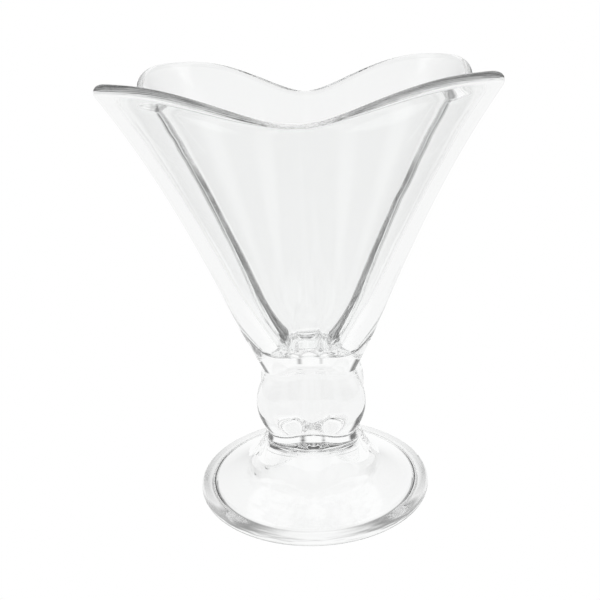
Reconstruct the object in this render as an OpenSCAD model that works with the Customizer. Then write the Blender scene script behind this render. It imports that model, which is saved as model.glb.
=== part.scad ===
// Parfait glass in clear pressed glass: a bowl with four lobes and a solid heel, a ball shaped
// knop with the same four lobes, and a round foot. The lobes lie on the diagonals, and the
// creases between them lie on X and Y. Sizes are in millimetres and the glass stands on z = 0.

/* [Rim] */
// Height of the rim at the crown of each lobe
rim_h = 126; // [116:1:140]
// How far the rim dips at each crease
rim_dip = 10; // [4:0.5:14]
// How narrow each dip is, where a higher value is narrower
dip_power = 2.7; // [1.6:0.1:4]

/* [Bowl outside] */
// Half the width across two neighbouring lobes, at the height of the crowns
rim_span = 52.8; // [44:0.1:60]
// Angle from upright of the side at the rim
rim_lean = 34; // [28:1:40]
// Angle from upright of the side just above the neck
neck_lean = 24; // [16:1:32]
// Depth of each crease outside, in the upper bowl
outer_crease = 4; // [2.6:0.1:5.6]
// Height over which the creases change to those of the upper bowl, from the stem and the floor
crease_fade = 28; // [12:1:50]

/* [Bowl inside] */
// Glass between the neck and the floor of the cavity
heel_h = 5.8; // [4:0.1:12]
// Half the width of the cavity at its floor, before the corner is rounded
floor_span = 9.8; // [8.6:0.1:11.4]
// Angle from upright of the cavity's side just above its floor
floor_lean = 27; // [20:1:34]
// Depth of each crease at the cavity's floor
floor_crease = 2.5; // [1.5:0.1:3.2]
// Depth of each crease inside, in the upper bowl
inner_crease = 3.4; // [2.2:0.1:4.4]
// Radius of the corner round the cavity's floor
floor_round = 8; // [3:0.5:9]
// Thickness of the wall under the rim, measured level
rim_wall = 3.4; // [2:0.1:4.5]

/* [Knop] */
// Height of the knop from joint to joint
knop_h = 18.1; // [16:0.1:24]
// Half the width of the knop at its widest
knop_span = 15.9; // [14:0.1:19]
// Depth of the creases round the middle of the knop
knop_crease = 1.2; // [0.6:0.1:2.4]
// Half the width of the stem at both joints, where the sides would meet in a corner
stem_span = 12.8; // [11.4:0.1:13.6]
// Depth of the creases in the stem
stem_crease = 1.2; // [0.8:0.1:2.4]
// How far fused glass fills the corner at the neck
neck_fill = 0.4; // [0:0.1:0.6]
// How far fused glass fills the corner at the waist
waist_fill = 0.3; // [0:0.1:0.6]

/* [Foot] */
// Diameter of the foot
foot_d = 70; // [62:1:84]
// Height of the foot up to its joint with the knop
foot_h = 22.9; // [18:0.1:28]
// Thickness of the foot's rounded edge
edge_t = 4.4; // [3:0.1:6]
// How far the flare drops before it turns outward
flare_drop = 11.9; // [8:0.1:14]
// How far the flare spreads while it drops
flare_out = 2.7; // [1.6:0.1:5]
// Width of the brim over which the flare levels out
brim_run = 14.8; // [10:0.1:17]
// How much the brim rises over that width
brim_rise = 2.4; // [1:0.1:4]
// Width of the flat ring that the glass stands on
rest_w = 1.6; // [1:0.1:4]
// Height of the step just inside the ring
step_h = 2; // [1:0.1:2.4]

/* [Hollow under the foot] */
// Glass between the top of the hollow and the joint with the knop
ceiling_t = 6.4; // [4:0.1:8]
// How much narrower the hollow is near its top than the stem, on each side
hollow_wall = 1.8; // [1.6:0.1:3]
// Radius of the corner round the top of the hollow
hollow_round = 2; // [1:0.5:4]
// How far the hollow widens on its way down, before it turns outward
hollow_out = 2.3; // [1:0.1:3]
// How much the hollow rises from the step towards the middle
hollow_rise = 1.5; // [1:0.1:2]

/* [Hidden] */
glass_tint = [0.86, 0.92, 0.93, 0.45];
lobes = 4;
sector = 360 / lobes;
// Height of the joint between knop and bowl
neck_h = foot_h + knop_h;
// Height of the cavity's floor
floor_h = neck_h + heel_h;
// Radius at the bottom of a crease, as a share of the half width there
valley_share = 0.08;
stem_valley_share = 1.2;
// Half the thickness of the wall under the rim, measured square to it
lip_r = rim_wall * cos(rim_lean) / 2;
// The corner round the floor turns until it meets the side
corner_turn = 90 - floor_lean;
corner_h = floor_h + floor_round * (1 - cos(corner_turn));
// The knop's side is an arc through both joints
knop_bulge = knop_span - stem_span;
knop_arc_r = (pow(knop_h / 2, 2) + pow(knop_bulge, 2)) / (2 * knop_bulge);
// Slopes away from the joints of the knop, the bowl and the foot, as width over height
knop_slope = tan(asin(knop_h / 2 / knop_arc_r));
bowl_slope = tan(neck_lean);
foot_slope = flare_out / flare_drop;
foot_r = foot_d / 2;
edge_r = edge_t / 2;
// Radius at which the foot's edge starts to turn, above and below
brim_r = foot_r - edge_r;
rest_r = brim_r - rest_w;
// Share of the foot's upper outline over which the creases fade out
fade_share = 0.62;
// Hollow under the foot: its top, its half widths there and at the step
ceiling_h = foot_h - ceiling_t;
hollow_span = stem_span - hollow_wall;
step_r = rest_r - step_h;
// Shares of the hollow's height and width over which its outline keeps straight at both ends
hollow_drop_share = 0.64;
hollow_run_share = 0.71;
// Share of the ceiling's radius at which its flat middle starts
ceiling_share = 0.3;

// Points round each ring, and rows up each surface
around = 80;
side_rows = 18;
lip_rows = 6;
corner_rows = 5;
knop_rows = 14;
flare_rows = 17;
edge_rows = 7;
step_rows = 4;
wall_rows = 12;
// Rows lie closer together near the neck, where a higher value is closer
row_power = 1.4;

// Goes smoothly from 0 to 1
function ease(u) = let(v = max(0, min(1, u))) v * v * (3 - 2 * v);

// Cubic through two values with a slope at each end, where run is the distance between them
function hermite(u, from, to, slope_from, slope_to, run) =
    (1 + 2 * u) * pow(1 - u, 2) * from
    + u * u * (3 - 2 * u) * to
    + run * u * pow(1 - u, 2) * slope_from
    - run * u * u * (1 - u) * slope_to;

// Cubic curve with two handles
function bezier(t, p0, p1, p2, p3) =
    pow(1 - t, 3) * p0 + 3 * pow(1 - t, 2) * t * p1 + 3 * (1 - t) * t * t * p2 + t * t * t * p3;

// Angle to the nearest crease
function from_crease(a) = abs((a + sector / 2) % sector - sector / 2);

// Distance from the axis to the lobed outline at angle a. Each lobe is an arc whose middle lies
// on a diagonal, and each crease is a valley arc that touches both of its lobes.
function lobed_r(span, crease, valley, a) =
    let(
        offset = sqrt(2 * crease * (span + valley)) - crease,
        lobe = span - offset,
        middle = span - crease + valley,
        reach = valley / (lobe + valley),
        touch = atan2(offset * reach, middle + (offset - middle) * reach),
        near = from_crease(a),
        far = sector / 2 - near,
        centre = offset * sqrt(2)
    )
    near < touch
        ? middle * cos(near) - sqrt(max(0, pow(valley, 2) - pow(middle * sin(near), 2)))
        : centre * cos(far) + sqrt(max(0, pow(lobe, 2) - pow(centre * sin(far), 2)));

function at(r, a, z) = [r * cos(a), r * sin(a), z];
function angles() = [for (i = [0 : around - 1]) i * 360 / around];

// Fused glass in the corner at a joint, which thins out to nothing on a side that slopes away
function fill_at(fill, gap, slope) =
    let(reach = 2 * fill / slope)
    fill > 0 ? slope * pow(max(0, reach - gap), 2) / (2 * reach) : 0;

// Height of the rim's crest
function rim_z(a) = rim_h - rim_dip * pow(abs(cos(lobes / 2 * a)), dip_power);

// Half widths of the bowl, outside and inside, at a height
function outside_span(z) =
    hermite((z - neck_h) / (rim_h - neck_h), stem_span, rim_span,
        bowl_slope, tan(rim_lean), rim_h - neck_h)
    + fill_at(neck_fill, z - neck_h, bowl_slope);
function inside_span(z) =
    hermite((z - floor_h) / (rim_h - floor_h), floor_span, rim_span - rim_wall,
        tan(floor_lean), tan(rim_lean), rim_h - floor_h);

function outside_r(z, a) =
    let(
        share = ease((z - neck_h) / crease_fade),
        crease = stem_crease + (outer_crease - stem_crease) * share,
        valley = stem_valley_share + (valley_share - stem_valley_share) * share
    )
    lobed_r(outside_span(z), crease, valley * outside_span(z), a);
function inside_r(z, a) =
    let(
        crease = floor_crease + (inner_crease - floor_crease) * ease((z - floor_h) / crease_fade),
        wall = outside_span(z) - inside_span(z)
    )
    lobed_r(inside_span(z), crease, valley_share * outside_span(z) + wall, a);

// The lip is half round and stands square to the wall. These are its lean, half its thickness,
// and the height of its middle.
function lip_lean(a) =
    let(z = rim_z(a) - lip_r)
    atan2(outside_r(z, a) - outside_r(z - lip_r, a), lip_r);
function lip_half(a) =
    let(z = rim_z(a) - lip_r)
    (outside_r(z, a) - inside_r(z, a)) / 2 * cos(lip_lean(a));
function lip_z(a) = rim_z(a) - lip_half(a);
function lip_mid_r(a) = (outside_r(lip_z(a), a) + inside_r(lip_z(a), a)) / 2;

function outside_ring(share) = [
    for (a = angles())
        let(
            top = lip_z(a) - lip_half(a) * sin(lip_lean(a)),
            z = neck_h + (top - neck_h) * pow(share, row_power)
        )
        at(outside_r(z, a), a, z)
];
function inside_ring(share) = [
    for (a = angles())
        let(
            top = lip_z(a) + lip_half(a) * sin(lip_lean(a)),
            z = corner_h + (top - corner_h) * share
        )
        at(inside_r(z, a), a, z)
];
function lip_ring(turn) = [
    for (a = angles())
        at(lip_mid_r(a) + lip_half(a) * cos(turn - lip_lean(a)),
            a, lip_z(a) + lip_half(a) * sin(turn - lip_lean(a)))
];
function corner_ring(turn) =
    let(inset = floor_round * (sin(corner_turn) - sin(turn)), share = 1 - inset / inside_span(corner_h))
    [for (a = angles()) at(inside_r(corner_h, a) * share, a, floor_h + floor_round * (1 - cos(turn)))];

// Ring of the stem or foot at one height
function level_ring(span, crease, z) = [
    for (a = angles()) at(lobed_r(span, crease, stem_valley_share * span, a), a, z)
];

// Ring of the knop at a height above or below its middle
function knop_ring(rise) =
    let(
        half = knop_h / 2,
        arc = knop_span - knop_arc_r + sqrt(pow(knop_arc_r, 2) - pow(rise, 2)),
        above = fill_at(neck_fill, half - rise, knop_slope),
        below = fill_at(waist_fill, half + rise, knop_slope),
        crease = knop_crease + (stem_crease - knop_crease) * pow(rise / half, 2)
    )
    level_ring(arc + above + below, crease, foot_h + half + rise);

function brim_point(t) = bezier(t,
    [brim_r, edge_t],
    [brim_r - brim_run, edge_t + brim_rise],
    [stem_span + flare_out, foot_h - flare_drop],
    [stem_span, foot_h]);

// Outline of the hollow from the corner at its top down to the step
function hollow_point(t) =
    let(top = ceiling_h - hollow_round)
    bezier(t,
        [hollow_span, top],
        [hollow_span + hollow_out, top - (top - step_h) * hollow_drop_share],
        [step_r - (step_r - hollow_span) * hollow_run_share, step_h + hollow_rise],
        [step_r, step_h]);

// Joins rings into one closed solid. The first and last ring each close with a flat face.
module skin(rings) {
    count = len(rings[0]);
    last = (len(rings) - 1) * count;
    sides = [
        for (i = [0 : len(rings) - 2], j = [0 : count - 1])
            let(
                low = i * count + j,
                low_next = i * count + (j + 1) % count,
                high = low + count,
                high_next = low_next + count
            )
            each [[low, high, high_next], [low, high_next, low_next]]
    ];
    first_cap = [for (j = [0 : count - 1]) j];
    last_cap = [for (j = [count - 1 : -1 : 0]) last + j];
    polyhedron(
        points = [for (ring = rings) each ring],
        faces = concat([first_cap], sides, [last_cap]),
        convexity = 8
    );
}

// Lobed bowl with its rounded lip, its cavity and the solid heel under the cavity
module bowl() {
    color(glass_tint)
        skin(concat(
            [for (i = [0 : side_rows]) outside_ring(i / side_rows)],
            [for (i = [1 : lip_rows - 1]) lip_ring(180 * i / lip_rows)],
            [for (i = [side_rows : -1 : 0]) inside_ring(i / side_rows)],
            [for (i = [corner_rows - 1 : -1 : 0]) corner_ring(corner_turn * i / corner_rows)]
        ));
}

// Solid ball shaped knop between the foot and the bowl
module knop() {
    color(glass_tint)
        skin([for (i = [0 : knop_rows]) knop_ring(-knop_h / 2 * cos(180 * i / knop_rows))]);
}

// Round foot with a hollow underside, a rounded edge and a flare whose creases fade out
module foot() {
    flat_r = hollow_span - hollow_round;
    color(glass_tint)
        skin(concat(
            [level_ring(flat_r * ceiling_share, 0, ceiling_h)],
            [
                for (i = [0 : corner_rows - 1])
                    let(turn = 90 * i / corner_rows)
                    level_ring(flat_r + hollow_round * sin(turn), 0,
                        ceiling_h - hollow_round * (1 - cos(turn)))
            ],
            [
                for (i = [0 : wall_rows])
                    let(p = hollow_point(i / wall_rows))
                    level_ring(p[0], 0, p[1])
            ],
            [
                for (i = [step_rows - 1 : -1 : 0])
                    let(turn = 90 * i / step_rows)
                    level_ring(step_r + step_h * cos(turn), 0, step_h * sin(turn))
            ],
            [
                for (i = [0 : edge_rows - 1])
                    let(turn = 180 * i / edge_rows)
                    level_ring(brim_r + edge_r * sin(turn), 0, edge_r * (1 - cos(turn)))
            ],
            [
                for (i = [0 : flare_rows])
                    let(
                        t = i / flare_rows,
                        p = brim_point(t),
                        crease = stem_crease * ease(1 - (1 - t) / fade_share),
                        fill = fill_at(waist_fill, foot_h - p[1], foot_slope)
                    )
                    level_ring(p[0] + fill, crease, p[1])
            ]
        ));
}

bowl();
knop();
foot();
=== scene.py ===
from math import asin, atan2, cos, pi, radians, sin, sqrt, tan

import bmesh
import bpy
from mathutils import Matrix, Vector


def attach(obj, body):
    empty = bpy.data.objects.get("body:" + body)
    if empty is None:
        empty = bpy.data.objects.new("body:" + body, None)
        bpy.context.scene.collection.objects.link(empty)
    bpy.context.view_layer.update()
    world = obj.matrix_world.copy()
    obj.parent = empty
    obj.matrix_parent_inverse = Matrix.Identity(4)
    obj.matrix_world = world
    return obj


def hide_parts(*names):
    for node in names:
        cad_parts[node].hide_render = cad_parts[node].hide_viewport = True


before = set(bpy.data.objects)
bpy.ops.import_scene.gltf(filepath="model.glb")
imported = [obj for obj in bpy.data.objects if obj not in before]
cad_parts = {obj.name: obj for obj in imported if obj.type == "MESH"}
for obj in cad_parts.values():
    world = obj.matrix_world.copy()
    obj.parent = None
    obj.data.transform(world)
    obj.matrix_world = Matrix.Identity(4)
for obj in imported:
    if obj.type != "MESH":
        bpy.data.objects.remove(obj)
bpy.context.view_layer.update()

bl_info = {
    "name": "Parfait Glass",
    "version": (1, 0, 0),
    "blender": (4, 5, 0),
    "location": "3D View > Sidebar > Parfait Glass",
    "description": "Builds a lobed parfait glass in clear pressed glass, with its stage",
    "category": "Add Mesh",
}

LOBES = 4
SECTOR = 2 * pi / LOBES

# Row counts along each surface, and points round each ring
AROUND = 224
SIDE_ROWS = 64
LIP_ROWS = 14
CORNER_ROWS = 14
KNOP_ROWS = 48
FLARE_ROWS = 48
EDGE_ROWS = 18
STEP_ROWS = 10
CEILING_ROWS = 8
WALL_ROWS = 36

# Share of the hollow's flat top that its innermost ring takes
CENTRE_SHARE = 0.03

# Place of the fused glass among a piece's materials
FUSED = 1


def length(label, text, value):
    """Length property in metres."""
    return bpy.props.FloatProperty(name=label, description=text, default=value, min=0.0, unit="LENGTH")


def angle(label, text, degrees):
    """Angle property."""
    return bpy.props.FloatProperty(
        name=label, description=text, default=radians(degrees), subtype="ANGLE"
    )


def factor(label, text, value, top=1.0):
    """Plain number from zero up to a top value."""
    return bpy.props.FloatProperty(
        name=label, description=text, default=value, min=0.0, max=top, subtype="FACTOR"
    )


def colour(label, text, value):
    """Colour property."""
    return bpy.props.FloatVectorProperty(
        name=label, description=text, default=value, min=0.0, max=1.0, size=3, subtype="COLOR"
    )


class BowlSizes(bpy.types.PropertyGroup):
    rim_height: length("Rim Height", "Height of the rim at the crown of each lobe", 0.126)
    rim_dip: length("Rim Dip", "How far the rim dips at each crease", 0.010)
    dip_power: factor("Dip Power", "How narrow each dip is", 2.7, 6.0)
    rim_span: length("Rim Span", "Half the width across two neighbouring lobes at the rim", 0.0528)
    rim_wall: length("Rim Wall", "Thickness of the wall under the rim, measured level", 0.0034)
    rim_lean: angle("Rim Lean", "Angle from upright of the side at the rim", 34)
    neck_lean: angle("Neck Lean", "Angle from upright of the side just above the neck", 24)
    outer_crease: length("Outer Crease", "Depth of the creases outside at the rim", 0.004)
    inner_crease: length("Inner Crease", "Depth of the creases inside at the rim", 0.0034)
    crease_fade: length("Crease Fade", "Height over which the creases reach their depth", 0.028)
    heel_height: length("Heel Height", "Glass between the neck and the floor of the cavity", 0.0058)
    floor_span: length("Floor Span", "Half the width of the cavity at its floor", 0.0098)
    floor_lean: angle("Floor Lean", "Angle from upright of the cavity's side above its floor", 27)
    floor_crease: length("Floor Crease", "Depth of the creases at the cavity's floor", 0.0025)
    floor_round: length("Floor Round", "Radius of the corner round the cavity's floor", 0.008)


class StemSizes(bpy.types.PropertyGroup):
    knop_height: length("Knop Height", "Height of the knop from joint to joint", 0.0181)
    knop_span: length("Knop Span", "Half the width of the knop at its widest", 0.0159)
    knop_crease: length("Knop Crease", "Depth of the creases round the middle of the knop", 0.0012)
    stem_span: length("Stem Span", "Half the width of the stem at both joints", 0.0128)
    stem_crease: length("Stem Crease", "Depth of the creases in the stem", 0.0012)
    stem_valley: factor("Stem Valley", "Softness of the creases in the stem", 1.2, 2.0)
    neck_fill: length("Neck Fill", "How far fused glass fills the corner at the neck", 0.0004)
    waist_fill: length("Waist Fill", "How far fused glass fills the corner at the waist", 0.0003)


class FootSizes(bpy.types.PropertyGroup):
    foot_width: length("Foot Width", "Diameter of the foot", 0.070)
    foot_height: length("Foot Height", "Height of the foot up to its joint with the knop", 0.0229)
    edge_height: length("Edge Height", "Thickness of the rounded edge", 0.0044)
    flare_drop: length("Flare Drop", "How far the flare drops before it turns outward", 0.0119)
    flare_out: length("Flare Out", "How far the flare spreads while it drops", 0.0027)
    brim_run: length("Brim Run", "Width of the brim over which the flare levels out", 0.0148)
    brim_rise: length("Brim Rise", "How much the brim rises over that width", 0.0024)
    rest_width: length("Rest Width", "Width of the flat ring that the glass stands on", 0.0016)
    step_height: length("Step Height", "Height of the step just inside the ring", 0.002)
    ceiling: length("Ceiling", "Glass between the top of the hollow and the waist", 0.0064)
    hollow_wall: length("Hollow Wall", "How much narrower the hollow's top is than the stem", 0.0018)
    hollow_round: length("Hollow Round", "Radius of the corner round the hollow's top", 0.002)
    hollow_out: length("Hollow Out", "How far the hollow widens before it turns outward", 0.0023)
    hollow_rise: length("Hollow Rise", "How much the hollow rises from the step", 0.0015)


class GlassLook(bpy.types.PropertyGroup):
    tint: colour("Tint", "Colour of the glass", (0.985, 0.99, 0.988))
    index: factor("Index", "How strongly the glass bends light", 1.52, 2.5)
    ripple: length("Ripple", "Height of the faint ripples left by pressing", 0.00006)
    ripple_size: length("Ripple Size", "Distance between the ripples", 0.012)
    streak: length("Streak", "Depth of the streaks round the foot's edge", 0.00015)
    streak_length: length("Streak Length", "How long the streaks are", 0.014)
    streak_height: length("Streak Height", "Distance between streaks up the edge", 0.0015)
    streak_top: length("Streak Top", "Height up to which the streaks are at their full depth", 0.0045)
    ground: factor("Ground Ring", "Roughness of the ground resting ring", 0.35)


class StageLook(bpy.types.PropertyGroup):
    floor_colour: colour("Floor Colour", "Colour of the pale floor", (1.0, 1.0, 1.0))
    # Painted shadow: the contact values below darken the floor's glow in a soft ring where the foot
    # rests
    contact: factor("Contact Shade", "Darkness of the soft ring where the foot rests", 0.8)
    contact_start: factor("Contact Start", "Where that ring starts, as a share of the radius", 0.88)
    contact_deep: factor("Contact Deep", "Where it is deepest, as a share of the radius", 0.985)
    contact_end: factor("Contact End", "Where it ends, as a share of the radius", 1.04, 2.0)
    contact_back: factor("Contact Back", "Share of that darkness straight behind the glass", 0.1)
    # Painted light: outside a bright pool round the glass, the floor's glow is dimmed to this
    dim_floor: factor("Dim Floor", "Brightness of the floor between glass and backdrop", 0.945)
    # Painted shade: the inner values below darken the floor's glow in a ring under the front of the
    # hollow
    inner: factor("Inner Shade", "Darkness of the ring under the front of the hollow", 0.65)
    inner_place: factor("Inner Place", "Where the inner ring runs, as a share of the radius", 0.88)
    inner_width: factor("Inner Width", "Half the width of the inner ring, as a share of it", 0.03)
    inner_reach: factor("Inner Reach", "How far back the inner ring reaches on each side", 0.95)
    walls: factor("Walls", "Brightness of the studio between its lights", 0.12)
    panels: factor("Panels", "Brightness of the panels beside and in front of the glass", 0.6)
    backdrop: factor("Backdrop", "Share of a half turn that the full backdrop fills", 0.06)
    backdrop_edge: factor("Backdrop Edge", "Share of a half turn where the backdrop ends", 0.14)
    backdrop_top: factor("Backdrop Top", "Height in the sky where the backdrop ends", 0.9)
    backdrop_fade: factor("Backdrop Fade", "Height over which the backdrop's top fades", 0.3)
    top_light: factor("Top Light", "Height in the sky above which the rear half is lit", 0.7)


def ease(u):
    """Goes smoothly from 0 to 1."""
    v = max(0.0, min(1.0, u))
    return v * v * (3 - 2 * v)


def hermite(u, start, end, slope_start, slope_end, run):
    """Cubic through two values with a slope at each end."""
    return (
        (1 + 2 * u) * (1 - u) ** 2 * start
        + u * u * (3 - 2 * u) * end
        + run * u * (1 - u) ** 2 * slope_start
        - run * u * u * (1 - u) * slope_end
    )


def bezier(t, handles):
    """Point of a cubic curve with two handles."""
    weights = ((1 - t) ** 3, 3 * (1 - t) ** 2 * t, 3 * (1 - t) * t * t, t ** 3)
    return [sum(w * h[k] for w, h in zip(weights, handles)) for k in (0, 1)]


def lobed(span, crease, valley, a):
    """Distance from the axis to the lobed outline at angle a."""
    if crease <= 0:
        return span
    offset = sqrt(2 * crease * (span + valley)) - crease
    lobe = span - offset
    middle = span - crease + valley
    reach = valley / (lobe + valley)
    touch = atan2(offset * reach, middle + (offset - middle) * reach)
    near = abs((a + SECTOR / 2) % SECTOR - SECTOR / 2)
    far = SECTOR / 2 - near
    centre = offset * sqrt(2)
    if near < touch:
        return middle * cos(near) - sqrt(max(0.0, valley ** 2 - (middle * sin(near)) ** 2))
    return centre * cos(far) + sqrt(max(0.0, lobe ** 2 - (centre * sin(far)) ** 2))


class Glass:
    """Curves of the glass, worked out from the sizes in the sidebar."""

    # Radius at the bottom of a crease, as a share of the half width there
    valley = 0.08
    # Share of the foot's upper outline over which its creases fade out
    fade_share = 0.62
    # Shares of the hollow's height and width over which its outline keeps straight
    drop_share = 0.64
    run_share = 0.71
    # Rows lie closer together near the neck, where a higher value is closer
    row_power = 1.5

    def __init__(self, scene):
        self.bowl = scene.parfait_bowl
        self.stem = scene.parfait_stem
        self.foot = scene.parfait_foot
        self.neck = self.foot.foot_height + self.stem.knop_height
        self.floor = self.neck + self.bowl.heel_height
        self.lip = self.bowl.rim_wall * cos(self.bowl.rim_lean) / 2
        self.corner_turn = pi / 2 - self.bowl.floor_lean
        self.corner = self.floor + self.bowl.floor_round * (1 - cos(self.corner_turn))
        bulge = self.stem.knop_span - self.stem.stem_span
        half = self.stem.knop_height / 2
        self.arc = (half ** 2 + bulge ** 2) / (2 * bulge)
        self.brim = self.foot.foot_width / 2 - self.foot.edge_height / 2
        self.rest = self.brim - self.foot.rest_width
        self.knop_slope = tan(asin(half / self.arc))

    def fill(self, depth, gap, slope):
        """Fused glass in the corner at a joint, at a distance from it."""
        if depth <= 0:
            return 0.0
        reach = 2 * depth / slope
        return slope * max(0.0, reach - gap) ** 2 / (2 * reach)

    def outer_span(self, z):
        """Half the bowl's width outside at a height."""
        b = self.bowl
        run = b.rim_height - self.neck
        u = (z - self.neck) / run
        span = hermite(u, self.stem.stem_span, b.rim_span, tan(b.neck_lean), tan(b.rim_lean), run)
        return span + self.fill(self.stem.neck_fill, z - self.neck, tan(b.neck_lean))

    def inner_span(self, z):
        """Half the cavity's width at a height."""
        b = self.bowl
        run = b.rim_height - self.floor
        u = (z - self.floor) / run
        return hermite(
            u, b.floor_span, b.rim_span - b.rim_wall, tan(b.floor_lean), tan(b.rim_lean), run
        )

    def outer(self, z, a):
        """Distance from the axis to the bowl's outside."""
        b = self.bowl
        share = ease((z - self.neck) / b.crease_fade)
        crease = self.stem.stem_crease + (b.outer_crease - self.stem.stem_crease) * share
        valley = self.stem.stem_valley + (self.valley - self.stem.stem_valley) * share
        span = self.outer_span(z)
        return lobed(span, crease, valley * span, a)

    def inner(self, z, a):
        """Distance from the axis to the cavity's side."""
        b = self.bowl
        share = ease((z - self.floor) / b.crease_fade)
        crease = b.floor_crease + (b.inner_crease - b.floor_crease) * share
        span = self.outer_span(z)
        wall = span - self.inner_span(z)
        return lobed(self.inner_span(z), crease, self.valley * span + wall, a)

    def crest(self, a):
        """Height of the rim at an angle."""
        b = self.bowl
        return b.rim_height - b.rim_dip * abs(cos(LOBES / 2 * a)) ** b.dip_power

    def lip_arc(self, a):
        """Centre, half thickness and lean of the half round lip at an angle."""
        z = self.crest(a) - self.lip
        lean = atan2(self.outer(z, a) - self.outer(z - self.lip, a), self.lip)
        half = (self.outer(z, a) - self.inner(z, a)) / 2 * cos(lean)
        z = self.crest(a) - half
        return (self.outer(z, a) + self.inner(z, a)) / 2, z, half, lean

    def outer_ring(self, share):
        """Ring on the bowl's outside, at a share of the way from the neck to the lip."""
        def place(a):
            _, z, half, lean = self.lip_arc(a)
            top = z - half * sin(lean)
            height = self.neck + (top - self.neck) * share ** self.row_power
            return self.outer(height, a), height
        return place

    def inner_ring(self, share):
        """Ring in the cavity, at a share of the way from its corner to the lip."""
        def place(a):
            _, z, half, lean = self.lip_arc(a)
            top = z + half * sin(lean)
            height = self.corner + (top - self.corner) * share
            return self.inner(height, a), height
        return place

    def lip_ring(self, turn):
        """Ring on the half round lip, from 0 outside to half a turn inside."""
        def place(a):
            r, z, half, lean = self.lip_arc(a)
            out = half * (cos(lean) * cos(turn) + sin(lean) * sin(turn))
            up = half * (cos(lean) * sin(turn) - sin(lean) * cos(turn))
            return r + out, z + up
        return place

    def corner_ring(self, turn):
        """Ring in the rounded corner between the cavity's floor and its side."""
        inset = self.bowl.floor_round * (sin(self.corner_turn) - sin(turn))
        share = 1 - inset / self.inner_span(self.corner)
        height = self.floor + self.bowl.floor_round * (1 - cos(turn))
        return lambda a: (self.inner(self.corner, a) * share, height)

    def bowl_rings(self):
        """Rings from the neck up the outside, over the lip and down to the cavity's floor."""
        rings = [self.outer_ring(i / SIDE_ROWS) for i in range(SIDE_ROWS + 1)]
        rings += [self.lip_ring(pi * i / LIP_ROWS) for i in range(1, LIP_ROWS)]
        rings += [self.inner_ring(1 - i / SIDE_ROWS) for i in range(SIDE_ROWS + 1)]
        turns = [self.corner_turn * (1 - i / CORNER_ROWS) for i in range(1, CORNER_ROWS + 1)]
        return rings + [self.corner_ring(turn) for turn in turns]

    def knop_ring(self, share):
        """Ring at a share of the knop's height."""
        s = self.stem
        half = s.knop_height / 2
        rise = half * (2 * share - 1)
        middle = 1 - (rise / half) ** 2
        span = s.knop_span - self.arc + sqrt(self.arc ** 2 - rise ** 2)
        span += self.fill(s.neck_fill, half - rise, self.knop_slope)
        span += self.fill(s.waist_fill, half + rise, self.knop_slope)
        crease = s.stem_crease + (s.knop_crease - s.stem_crease) * middle
        height = self.foot.foot_height + half + rise
        return lambda a: (lobed(span, crease, s.stem_valley * span, a), height)

    def knop_rings(self):
        """Rings from the waist up to the neck."""
        return [self.knop_ring((1 - cos(pi * i / KNOP_ROWS)) / 2) for i in range(KNOP_ROWS + 1)]

    def foot_rings(self):
        """Rings from the hollow's top down to the resting ring, and over the edge to the waist."""
        f = self.foot
        s = self.stem
        step = f.step_height
        inner = self.rest - step
        span = s.stem_span - f.hollow_wall
        flat = span - f.hollow_round
        ceiling = f.foot_height - f.ceiling
        rings = []
        for i in range(CEILING_ROWS + 1):
            share = CENTRE_SHARE + (1 - CENTRE_SHARE) * i / CEILING_ROWS
            rings.append((flat * share, ceiling, 0))
        for i in range(1, CORNER_ROWS):
            turn = pi / 2 * i / CORNER_ROWS
            drop = f.hollow_round * (1 - cos(turn))
            rings.append((flat + f.hollow_round * sin(turn), ceiling - drop, 0))
        top = ceiling - f.hollow_round
        handles = (
            (span, top),
            (span + f.hollow_out, top - (top - step) * self.drop_share),
            (inner - (inner - span) * self.run_share, step + f.hollow_rise),
            (inner, step),
        )
        for i in range(WALL_ROWS + 1):
            r, z = bezier(i / WALL_ROWS, handles)
            rings.append((r, z, 0))
        for i in range(STEP_ROWS - 1, -1, -1):
            turn = pi / 2 * i / STEP_ROWS
            rings.append((inner + step * cos(turn), step * sin(turn), 0))
        half = f.edge_height / 2
        for i in range(EDGE_ROWS):
            turn = pi * i / EDGE_ROWS
            rings.append((self.brim + half * sin(turn), half * (1 - cos(turn)), 0))
        handles = (
            (self.brim, f.edge_height),
            (self.brim - f.brim_run, f.edge_height + f.brim_rise),
            (s.stem_span + f.flare_out, f.foot_height - f.flare_drop),
            (s.stem_span, f.foot_height),
        )
        for i in range(FLARE_ROWS + 1):
            t = i / FLARE_ROWS
            r, z = bezier(t, handles)
            crease = s.stem_crease * ease(1 - (1 - t) / self.fade_share)
            fill = self.fill(s.waist_fill, f.foot_height - z, f.flare_out / f.flare_drop)
            rings.append((r + fill, z, crease))
        return [self.level_ring(*ring) for ring in rings]

    def level_ring(self, span, height, crease):
        """Ring at one height, with creases as soft as the stem's."""
        return lambda a: (lobed(span, crease, self.stem.stem_valley * span, a), height)


def ring_edges(ring):
    """Edges that run round a ring of points."""
    members = set(ring)
    return list({e for v in ring for e in v.link_edges if all(w in members for w in e.verts)})


def place_ring(ring, place):
    """Moves each point of a ring along its own angle to where place says."""
    for v in ring:
        a = atan2(v.co.y, v.co.x)
        r, z = place(a)
        v.co = (r * cos(a), r * sin(a), z)


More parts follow.
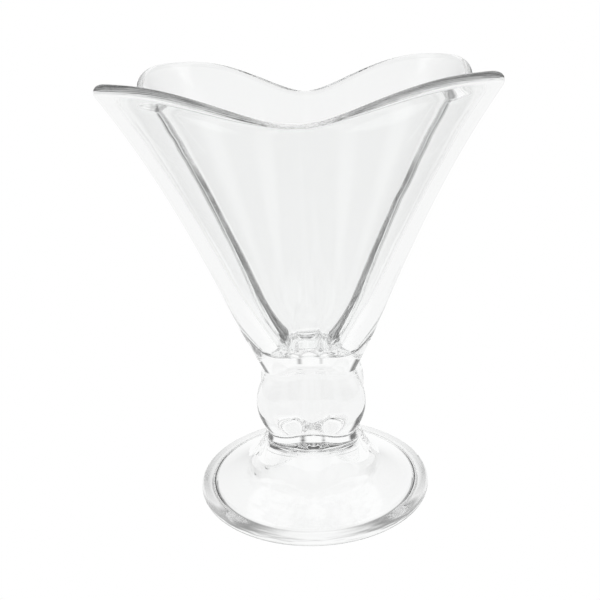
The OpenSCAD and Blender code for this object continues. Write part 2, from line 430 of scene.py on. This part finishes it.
def loft(name, rings, node, fused_faces):
    """Builds a closed piece by extruding a ring, and lists its fused flat faces."""
    bm = bmesh.new()
    ring = bmesh.ops.create_circle(bm, cap_ends=False, radius=1, segments=AROUND)["verts"]
    place_ring(ring, rings[0])
    first = ring
    for place in rings[1:]:
        made = bmesh.ops.extrude_edge_only(bm, edges=ring_edges(ring))["geom"]
        ring = [g for g in made if isinstance(g, bmesh.types.BMVert)]
        place_ring(ring, place)
    caps = []
    for end in (first, ring):
        caps += bmesh.ops.contextual_create(bm, geom=ring_edges(end))["faces"]
    bmesh.ops.recalc_face_normals(bm, faces=bm.faces[:])
    for face in bm.faces:
        face.smooth = face not in caps
    for k in fused_faces:
        caps[k].material_index = FUSED
    mesh = bpy.data.meshes.new(name)
    bm.to_mesh(mesh)
    bm.free()
    piece = bpy.data.objects.new(name, mesh)
    bpy.context.scene.collection.objects.link(piece)
    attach(piece, "root")
    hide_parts(node)
    look = bpy.context.scene.parfait_look
    mesh.materials.append(pressed_glass(node, look))
    mesh.materials.append(fused_glass(look))
    return piece


def new_material(name):
    """Material with an empty node tree, and its output."""
    material = bpy.data.materials.new(name)
    material.use_nodes = True
    nodes = material.node_tree.nodes
    nodes.clear()
    return material, nodes.new("ShaderNodeOutputMaterial")


def calculate(tree, operation, first, second=None):
    """Math node with sockets or numbers as its inputs."""
    node = tree.nodes.new("ShaderNodeMath")
    node.operation = operation
    for socket, value in zip(node.inputs, (first, second)):
        if isinstance(value, bpy.types.NodeSocket):
            tree.links.new(value, socket)
        elif value is not None:
            socket.default_value = value
    return node.outputs["Value"]


def soft_step(tree, value, start, end, low, high):
    """Goes smoothly from a low to a high value between two places."""
    node = tree.nodes.new("ShaderNodeMapRange")
    node.interpolation_type = "SMOOTHSTEP"
    node.inputs["From Min"].default_value = start
    node.inputs["From Max"].default_value = end
    node.inputs["To Min"].default_value = low
    node.inputs["To Max"].default_value = high
    tree.links.new(value, node.inputs["Value"])
    return node.outputs["Result"]


# How fine the noise of the ripples and the streaks is
RIPPLE_DETAIL = 1.5
RIPPLE_ROUGHNESS = 0.4
STREAK_DETAIL = 2
STREAK_ROUGHNESS = 0.5
# Height at which the streaks have faded out, in heights of their top
STREAK_FADE = 2
# Heights above the floor between which the ground ring turns clear
GROUND_START = 0.00002
GROUND_END = 0.0001


def edge_streaks(tree, where, look):
    """Long, low streaks that fire polishing leaves round the foot's edge."""
    stretch = tree.nodes.new("ShaderNodeMapping")
    along = 1 / look.streak_length
    stretch.inputs["Scale"].default_value = (along, along, 1 / look.streak_height)
    tree.links.new(where.outputs["Object"], stretch.inputs["Vector"])
    noise = tree.nodes.new("ShaderNodeTexNoise")
    noise.inputs["Scale"].default_value = 1
    noise.inputs["Detail"].default_value = STREAK_DETAIL
    noise.inputs["Roughness"].default_value = STREAK_ROUGHNESS
    tree.links.new(stretch.outputs["Vector"], noise.inputs["Vector"])
    return noise.outputs["Fac"]


def pressed_glass(node, look):
    """Clear glass with faint pressing ripples, and a ground ring where it stands."""
    material, output = new_material(node + "_pressed_glass")
    tree = material.node_tree
    nodes = tree.nodes
    link = tree.links.new
    glass = nodes.new("ShaderNodeBsdfPrincipled")
    glass.inputs["Base Color"].default_value = (*look.tint, 1)
    glass.inputs["Transmission Weight"].default_value = 1
    glass.inputs["IOR"].default_value = look.index
    where = nodes.new("ShaderNodeTexCoord")
    ripples = nodes.new("ShaderNodeTexNoise")
    ripples.inputs["Scale"].default_value = 1 / look.ripple_size
    ripples.inputs["Detail"].default_value = RIPPLE_DETAIL
    ripples.inputs["Roughness"].default_value = RIPPLE_ROUGHNESS
    link(where.outputs["Object"], ripples.inputs["Vector"])
    split = nodes.new("ShaderNodeSeparateXYZ")
    link(where.outputs["Object"], split.inputs["Vector"])
    relief = calculate(tree, "MULTIPLY", ripples.outputs["Fac"], look.ripple)
    if node == "foot":
        streaks = calculate(tree, "MULTIPLY", edge_streaks(tree, where, look), look.streak)
        fade_end = STREAK_FADE * look.streak_top
        low_down = soft_step(tree, split.outputs["Z"], look.streak_top, fade_end, 1, 0)
        streaks = calculate(tree, "MULTIPLY", streaks, low_down)
        relief = calculate(tree, "ADD", relief, streaks)
    bump = nodes.new("ShaderNodeBump")
    bump.inputs["Strength"].default_value = 1
    bump.inputs["Distance"].default_value = 1
    link(relief, bump.inputs["Height"])
    link(bump.outputs["Normal"], glass.inputs["Normal"])
    # The ground ring is the only surface this close to the floor
    ground = nodes.new("ShaderNodeMapRange")
    ground.inputs["From Min"].default_value = GROUND_END
    ground.inputs["From Max"].default_value = GROUND_START
    ground.inputs["To Min"].default_value = 0
    ground.inputs["To Max"].default_value = look.ground
    link(split.outputs["Z"], ground.inputs["Value"])
    link(ground.outputs["Result"], glass.inputs["Roughness"])
    link(glass.outputs["BSDF"], output.inputs["Surface"])
    return material


def fused_glass(look):
    """Face where two pieces are fused, which light passes as if it weren't there."""
    name = "fused_joint"
    if name in bpy.data.materials:
        return bpy.data.materials[name]
    material, output = new_material(name)
    nodes = material.node_tree.nodes
    joint = nodes.new("ShaderNodeBsdfPrincipled")
    joint.inputs["Base Color"].default_value = (*look.tint, 1)
    joint.inputs["Alpha"].default_value = 0
    material.node_tree.links.new(joint.outputs["BSDF"], output.inputs["Surface"])
    return material


class PARFAIT_OT_bowl(bpy.types.Operator):
    """Lobed bowl with a wavy rim and a solid heel"""

    bl_idname = "parfait.bowl"
    bl_label = "Bowl"

    def execute(self, context):
        loft("lobed_bowl", Glass(context.scene).bowl_rings(), "bowl", (0,))
        return {"FINISHED"}


class PARFAIT_OT_knop(bpy.types.Operator):
    """Ball shaped knop between the foot and the bowl"""

    bl_idname = "parfait.knop"
    bl_label = "Knop"

    def execute(self, context):
        loft("ball_knop", Glass(context.scene).knop_rings(), "knop", (0, 1))
        return {"FINISHED"}


class PARFAIT_OT_foot(bpy.types.Operator):
    """Round hollow foot with a flare"""

    bl_idname = "parfait.foot"
    bl_label = "Foot"

    def execute(self, context):
        loft("flared_foot", Glass(context.scene).foot_rings(), "foot", (1,))
        return {"FINISHED"}


# Where the painted pool of light on the floor round the glass falls off, in radii of the foot
POOL_START = 1.1
POOL_END = 2
# Where the floor's painted light rises back to full, to meet the bright backdrop, in radii of the foot
SWEEP_START = 12
SWEEP_END = 22


def pale_floor(look, foot_radius):
    """Glowing pale floor with painted shade under the foot and a painted pool of light round it, both
    seen only through the glass.
    """
    material, output = new_material("pale_floor")
    tree = material.node_tree
    where = tree.nodes.new("ShaderNodeTexCoord")
    reach = tree.nodes.new("ShaderNodeVectorMath")
    reach.operation = "LENGTH"
    tree.links.new(where.outputs["Object"], reach.inputs[0])
    split = tree.nodes.new("ShaderNodeSeparateXYZ")
    tree.links.new(where.outputs["Object"], split.inputs["Vector"])
    radius = calculate(tree, "DIVIDE", reach.outputs["Value"], foot_radius)
    # Painted contact shadow: a soft dark ring in the floor's glow round the resting ring, weaker
    # behind the glass
    rise = soft_step(tree, radius, look.contact_start, look.contact_deep, 0, look.contact)
    fall = soft_step(tree, radius, look.contact_deep, look.contact_end, look.contact, 0)
    # Painted shade: a dark ring in the floor's glow under the front of the hollow, fading out towards
    # the back
    off_inner = calculate(tree, "SUBTRACT", radius, look.inner_place)
    off_inner = calculate(tree, "ABSOLUTE", off_inner)
    inner = soft_step(tree, off_inner, 0, look.inner_width, look.inner, 0)
    side = calculate(tree, "DIVIDE", split.outputs["Y"], reach.outputs["Value"])
    around = soft_step(tree, side, -1, 1, 1, look.contact_back)
    ring = calculate(tree, "MULTIPLY", calculate(tree, "MINIMUM", rise, fall), around)
    front = soft_step(tree, side, look.inner_reach - 1, 0, 1, 0)
    inner = calculate(tree, "MULTIPLY", inner, front)
    lit = calculate(tree, "SUBTRACT", 1, calculate(tree, "MAXIMUM", ring, inner))
    # Painted pool of light: the floor glows fully round the glass, dimmer further out and full again
    # far away
    pool = soft_step(tree, radius, POOL_START, POOL_END, 1, look.dim_floor)
    sweep = soft_step(tree, radius, SWEEP_START, SWEEP_END, 0, 1)
    light = calculate(tree, "MULTIPLY", lit, calculate(tree, "MAXIMUM", pool, sweep))
    # Camera rays see the floor evenly bright, so the painted shade and pool of light show only through
    # the glass
    path = tree.nodes.new("ShaderNodeLightPath")
    light = calculate(tree, "MAXIMUM", light, path.outputs["Is Camera Ray"])
    glow = tree.nodes.new("ShaderNodeEmission")
    glow.inputs["Color"].default_value = (*look.floor_colour, 1)
    tree.links.new(light, glow.inputs["Strength"])
    tree.links.new(glow.outputs["Emission"], output.inputs["Surface"])
    return material


# Over how much of the sky the top light fades at its front and its lower edge
REAR_FADE = 0.1
TOP_FADE = 0.05
# Between these shares of facing the rear, a panel grows into the full backdrop
FACING_START = 0.5
FACING_FULL = 0.9


def studio(look):
    """Soft studio with a white backdrop, dimmer panels, a rear top light and grey walls."""
    world = bpy.data.worlds.new("studio")
    world.use_nodes = True
    tree = world.node_tree
    tree.nodes.clear()
    output = tree.nodes.new("ShaderNodeOutputWorld")
    where = tree.nodes.new("ShaderNodeTexCoord")
    split = tree.nodes.new("ShaderNodeSeparateXYZ")
    tree.links.new(where.outputs["Generated"], split.inputs["Vector"])
    height = split.outputs["Z"]
    across = calculate(tree, "ABSOLUTE", split.outputs["X"])
    along = calculate(tree, "ABSOLUTE", split.outputs["Y"])
    narrow = calculate(tree, "MINIMUM", across, along)
    wide = calculate(tree, "MAXIMUM", across, along)
    turn = calculate(tree, "DIVIDE", calculate(tree, "ARCTAN2", narrow, wide), pi)
    width = soft_step(tree, turn, look.backdrop, look.backdrop_edge, 1, 0)
    low = look.backdrop_top - look.backdrop_fade
    tall = soft_step(tree, height, low, look.backdrop_top, 1, 0)
    facing = calculate(tree, "DIVIDE", split.outputs["Y"], wide)
    power = soft_step(tree, facing, FACING_START, FACING_FULL, look.panels, 1)
    sheet = calculate(tree, "MULTIPLY", calculate(tree, "MULTIPLY", width, tall), power)
    rear = soft_step(tree, split.outputs["Y"], 0, REAR_FADE, 0, 1)
    above = soft_step(tree, height, look.top_light, look.top_light + TOP_FADE, 0, 1)
    sheet = calculate(tree, "MAXIMUM", sheet, calculate(tree, "MULTIPLY", rear, above))
    lights = tree.nodes.new("ShaderNodeBackground")
    lights.inputs["Color"].default_value = (1, 1, 1, 1)
    tree.links.new(calculate(tree, "MAXIMUM", look.walls, sheet), lights.inputs["Strength"])
    plain = tree.nodes.new("ShaderNodeBackground")
    plain.inputs["Color"].default_value = (1, 1, 1, 1)
    path = tree.nodes.new("ShaderNodeLightPath")
    mix = tree.nodes.new("ShaderNodeMixShader")
    tree.links.new(path.outputs["Is Camera Ray"], mix.inputs["Fac"])
    tree.links.new(lights.outputs["Background"], mix.inputs[1])
    tree.links.new(plain.outputs["Background"], mix.inputs[2])
    tree.links.new(mix.outputs["Shader"], output.inputs["Surface"])
    return world


# Camera that was fitted to the outlines of the glass
CAMERA_DISTANCE = 0.23405
CAMERA_HEIGHT = 0.14072
CAMERA_PITCH = radians(18.924)
CAMERA_YAW = radians(-0.612)
CAMERA_ROLL = radians(2.199)
CAMERA_TURN = radians(1.929)
# Focal length in widths of the picture, and the sensor's width in millimetres
FOCAL_WIDTHS = 851.9 / 600
SENSOR_WIDTH = 36
CLIP_START = 0.005


def place_camera(scene):
    """Sets the camera at the angle of the photograph."""
    forward = Vector((
        sin(CAMERA_YAW) * cos(CAMERA_PITCH),
        cos(CAMERA_YAW) * cos(CAMERA_PITCH),
        -sin(CAMERA_PITCH),
    ))
    level = Vector((cos(CAMERA_YAW), -sin(CAMERA_YAW), 0))
    raised = level.cross(forward)
    right = level * cos(CAMERA_ROLL) - raised * sin(CAMERA_ROLL)
    up = level * sin(CAMERA_ROLL) + raised * cos(CAMERA_ROLL)
    data = bpy.data.cameras.new("camera")
    data.sensor_width = SENSOR_WIDTH
    data.lens = FOCAL_WIDTHS * SENSOR_WIDTH
    data.clip_start = CLIP_START
    data.dof.use_dof = False
    camera = bpy.data.objects.new("camera", data)
    pose = Matrix((right, up, -forward)).transposed().to_4x4()
    pose.translation = Vector((0, -CAMERA_DISTANCE, CAMERA_HEIGHT))
    camera.matrix_world = Matrix.Rotation(CAMERA_TURN, 4, "Z") @ pose
    scene.collection.objects.link(camera)
    scene.camera = camera


# Width of the floor, and how many surfaces light may pass
FLOOR_WIDTH = 6.0
BOUNCES = 32


class PARFAIT_OT_stage(bpy.types.Operator):
    """Pale floor, soft studio light and the camera"""

    bl_idname = "parfait.stage"
    bl_label = "Stage"

    def execute(self, context):
        scene = context.scene
        look = scene.parfait_stage
        bm = bmesh.new()
        bmesh.ops.create_grid(bm, x_segments=1, y_segments=1, size=FLOOR_WIDTH / 2)
        mesh = bpy.data.meshes.new("floor")
        bm.to_mesh(mesh)
        bm.free()
        floor = bpy.data.objects.new("floor", mesh)
        scene.collection.objects.link(floor)
        mesh.materials.append(pale_floor(look, scene.parfait_foot.foot_width / 2))
        scene.world = studio(look)
        scene.view_settings.view_transform = "Standard"
        # Thick clear glass sends light through many surfaces before it leaves
        scene.cycles.max_bounces = BOUNCES
        scene.cycles.transmission_bounces = BOUNCES
        scene.cycles.glossy_bounces = BOUNCES
        scene.cycles.transparent_max_bounces = BOUNCES
        place_camera(scene)
        return {"FINISHED"}


class PARFAIT_PT_panel(bpy.types.Panel):
    """Lists the pieces of the glass and its stage"""

    bl_label = "Parfait Glass"
    bl_idname = "PARFAIT_PT_panel"
    bl_space_type = "VIEW_3D"
    bl_region_type = "UI"
    bl_category = "Parfait Glass"

    def draw(self, context):
        for operator, group in PARTS:
            box = self.layout.box()
            box.operator(operator)
            sizes = getattr(context.scene, group)
            for name in sizes.__annotations__:
                box.prop(sizes, name)
        box = self.layout.box()
        box.label(text="Glass")
        look = context.scene.parfait_look
        for name in look.__annotations__:
            box.prop(look, name)


PARTS = (
    ("parfait.bowl", "parfait_bowl"),
    ("parfait.knop", "parfait_stem"),
    ("parfait.foot", "parfait_foot"),
    ("parfait.stage", "parfait_stage"),
)

GROUPS = (
    ("parfait_bowl", BowlSizes),
    ("parfait_stem", StemSizes),
    ("parfait_foot", FootSizes),
    ("parfait_look", GlassLook),
    ("parfait_stage", StageLook),
)

OPERATORS = (PARFAIT_OT_bowl, PARFAIT_OT_knop, PARFAIT_OT_foot, PARFAIT_OT_stage)


def register():
    for name, group in GROUPS:
        bpy.utils.register_class(group)
        setattr(bpy.types.Scene, name, bpy.props.PointerProperty(type=group))
    for operator in OPERATORS:
        bpy.utils.register_class(operator)
    bpy.utils.register_class(PARFAIT_PT_panel)


def unregister():
    bpy.utils.unregister_class(PARFAIT_PT_panel)
    for operator in reversed(OPERATORS):
        bpy.utils.unregister_class(operator)
    for name, group in reversed(GROUPS):
        delattr(bpy.types.Scene, name)
        bpy.utils.unregister_class(group)


def main():
    register()
    bpy.ops.parfait.bowl()
    bpy.ops.parfait.knop()
    bpy.ops.parfait.foot()
    bpy.ops.parfait.stage()


if __name__ == "__main__":
    main()
